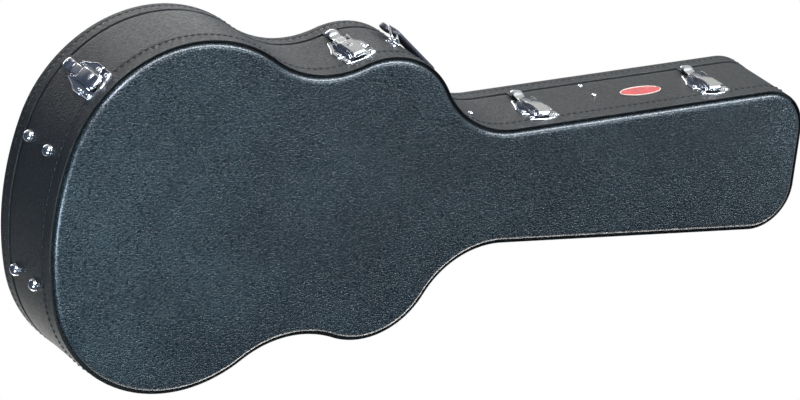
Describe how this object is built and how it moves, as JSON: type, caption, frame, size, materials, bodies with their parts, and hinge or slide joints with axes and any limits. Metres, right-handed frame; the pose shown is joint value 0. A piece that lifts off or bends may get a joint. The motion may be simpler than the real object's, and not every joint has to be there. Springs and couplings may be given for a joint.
{
  "type": "guitar case",
  "caption": "Hard-shell guitar case: deep leatherette tub, shallow hinged lid, draw latches with a key lock, a folding handle and a lined accessory compartment under the neck.",
  "frame": {"origin": "middle of the length on the tub's flat bottom, on the outline's line of symmetry", "axes": "+X from the tail to the head, -Y towards the latches and the handle, +Z from the tub's bottom to the lid"},
  "size_m": [1.08, 0.4684, 0.138],
  "materials": {
    "leatherette": "pebbled vinyl over plywood",
    "plush": "short-pile plush over foam",
    "chrome": "polished plating",
    "badge_red": "glossy enamel",
    "grip_leather": "satin, moulded"
  },
  "bodies": {
    "tub": {"tub_bottom_panel": "leatherette", "tub_wall_latch_side": "leatherette", "tub_wall_hinge_side": "leatherette", "tub_floor_lining": "plush", "tub_band_latch_side": "plush", "tub_band_hinge_side": "plush", "tub_padding_latch_side": "plush", "tub_padding_hinge_side": "plush", "body_partition": "plush", "head_partition": "plush", "neck_cradle_pad": "plush", "flap_rail": "plush", "partition_screws": "chrome", "butt_feet": "chrome", "badge_plate": "badge_red", "badge_rim": "chrome", "lower_hinge_tub_leaf": "chrome", "upper_hinge_tub_leaf": "chrome", "head_hinge_tub_leaf": "chrome", "lower_hinge_pin": "chrome", "upper_hinge_pin": "chrome", "head_hinge_pin": "chrome", "tub_hinge_rivets": "chrome", "tail_latch_base": "chrome", "waist_latch_base": "chrome", "neck_latch_base": "chrome", "head_latch_base": "chrome", "latch_pivot_rivets": "chrome", "latch_rivets": "chrome", "handle_saddles": "chrome", "handle_saddle_rivets": "chrome"},
    "lid": {"lid_top_panel": "leatherette", "lid_side_wall": "leatherette", "lid_padding": "plush", "tail_strike": "chrome", "waist_strike": "chrome", "neck_strike": "chrome", "head_strike": "chrome", "strike_screws": "chrome", "lower_hinge_lid_leaf": "chrome", "upper_hinge_lid_leaf": "chrome", "head_hinge_lid_leaf": "chrome", "lid_hinge_rivets": "chrome"},
    "tail_lever": {"tail_latch_lever": "chrome", "tail_latch_claw_pin": "chrome"},
    "tail_claw": {"tail_latch_claw": "chrome"},
    "waist_lever": {"waist_latch_lever": "chrome", "waist_latch_claw_pin": "chrome"},
    "waist_claw": {"waist_latch_claw": "chrome"},
    "neck_lever": {"neck_latch_lever": "chrome", "neck_latch_claw_pin": "chrome"},
    "neck_claw": {"neck_latch_claw": "chrome"},
    "head_lever": {"head_latch_lever": "chrome", "head_latch_claw_pin": "chrome"},
    "head_claw": {"head_latch_claw": "chrome"},
    "lock": {"lock_plug": "chrome"},
    "loops": {"handle_loops": "chrome"},
    "grip": {"handle_grip": "grip_leather"},
    "flap": {"compartment_flap": "plush", "flap_pull_tab": "grip_leather"}
  },
  "joints": [
    {"name": "lid_hinge", "type": "hinge", "parent": "tub", "child": "lid", "pos_m": [-0.07388, 0.19021, 0.112], "axis": [-0.9869, 0.1614, 0], "range_deg": [0, 105]},
    {"name": "tail_lever_turn", "type": "hinge", "parent": "tub", "child": "tail_lever", "pos_m": [-0.4906, -0.17867, 0.07], "axis": [-0.682, 0.7314, 0], "range_deg": [0, 95]},
    {"name": "tail_claw_turn", "type": "hinge", "parent": "tail_lever", "child": "tail_claw", "pos_m": [-0.49016, -0.17826, 0.062], "axis": [-0.682, 0.7314, 0], "range_deg": [-114, 0]},
    {"name": "waist_lever_turn", "type": "hinge", "parent": "tub", "child": "waist_lever", "pos_m": [-0.12642, -0.18837, 0.07], "axis": [-0.9455, 0.3256, 0], "range_deg": [0, 95]},
    {"name": "waist_claw_turn", "type": "hinge", "parent": "waist_lever", "child": "waist_claw", "pos_m": [-0.12623, -0.1878, 0.062], "axis": [-0.9455, 0.3256, 0], "range_deg": [-114, 0]},
    {"name": "neck_lever_turn", "type": "hinge", "parent": "tub", "child": "neck_lever", "pos_m": [0.15667, -0.08604, 0.07], "axis": [-0.9988, 0.0489, 0], "range_deg": [0, 95]},
    {"name": "neck_claw_turn", "type": "hinge", "parent": "neck_lever", "child": "neck_claw", "pos_m": [0.1567, -0.08544, 0.062], "axis": [-0.9988, 0.0489, 0], "range_deg": [-114, 0]},
    {"name": "head_lever_turn", "type": "hinge", "parent": "tub", "child": "head_lever", "pos_m": [0.41167, -0.09853, 0.07], "axis": [-0.9988, 0.0489, 0], "range_deg": [0, 95]},
    {"name": "head_claw_turn", "type": "hinge", "parent": "head_lever", "child": "head_claw", "pos_m": [0.4117, -0.09793, 0.062], "axis": [-0.9988, 0.0489, 0], "range_deg": [-114, 0]},
    {"name": "lock_turn", "type": "hinge", "parent": "waist_lever", "child": "lock", "pos_m": [-0.12753, -0.19159, 0.048], "axis": [-0.3256, -0.9455, 0], "range_deg": [0, 90]},
    {"name": "loops_swing", "type": "hinge", "parent": "tub", "child": "loops", "pos_m": [-0.02543, -0.15833, 0.056], "axis": [-0.7431, -0.6691, 0], "range_deg": [-126, 0]},
    {"name": "grip_swing", "type": "hinge", "parent": "loops", "child": "grip", "pos_m": [-0.01874, -0.16575, 0.0756], "axis": [-0.7431, -0.6691, 0], "range_deg": [-54, 0]},
    {"name": "flap_hinge", "type": "hinge", "parent": "tub", "child": "flap", "pos_m": [0.15, 0.06, 0.0739], "axis": [-1, 0, 0], "range_deg": [0, 84]}
  ],
  "couplings": [
    {"joint": "tail_claw_turn", "follows": "tail_lever_turn", "ratio": -1.2},
    {"joint": "waist_claw_turn", "follows": "waist_lever_turn", "ratio": -1.2},
    {"joint": "neck_claw_turn", "follows": "neck_lever_turn", "ratio": -1.2},
    {"joint": "head_claw_turn", "follows": "head_lever_turn", "ratio": -1.2},
    {"joint": "grip_swing", "follows": "loops_swing", "ratio": 0.42857},
    {"joint": "flap_hinge", "follows": "lid_hinge", "ratio": 0.8}
  ]
}
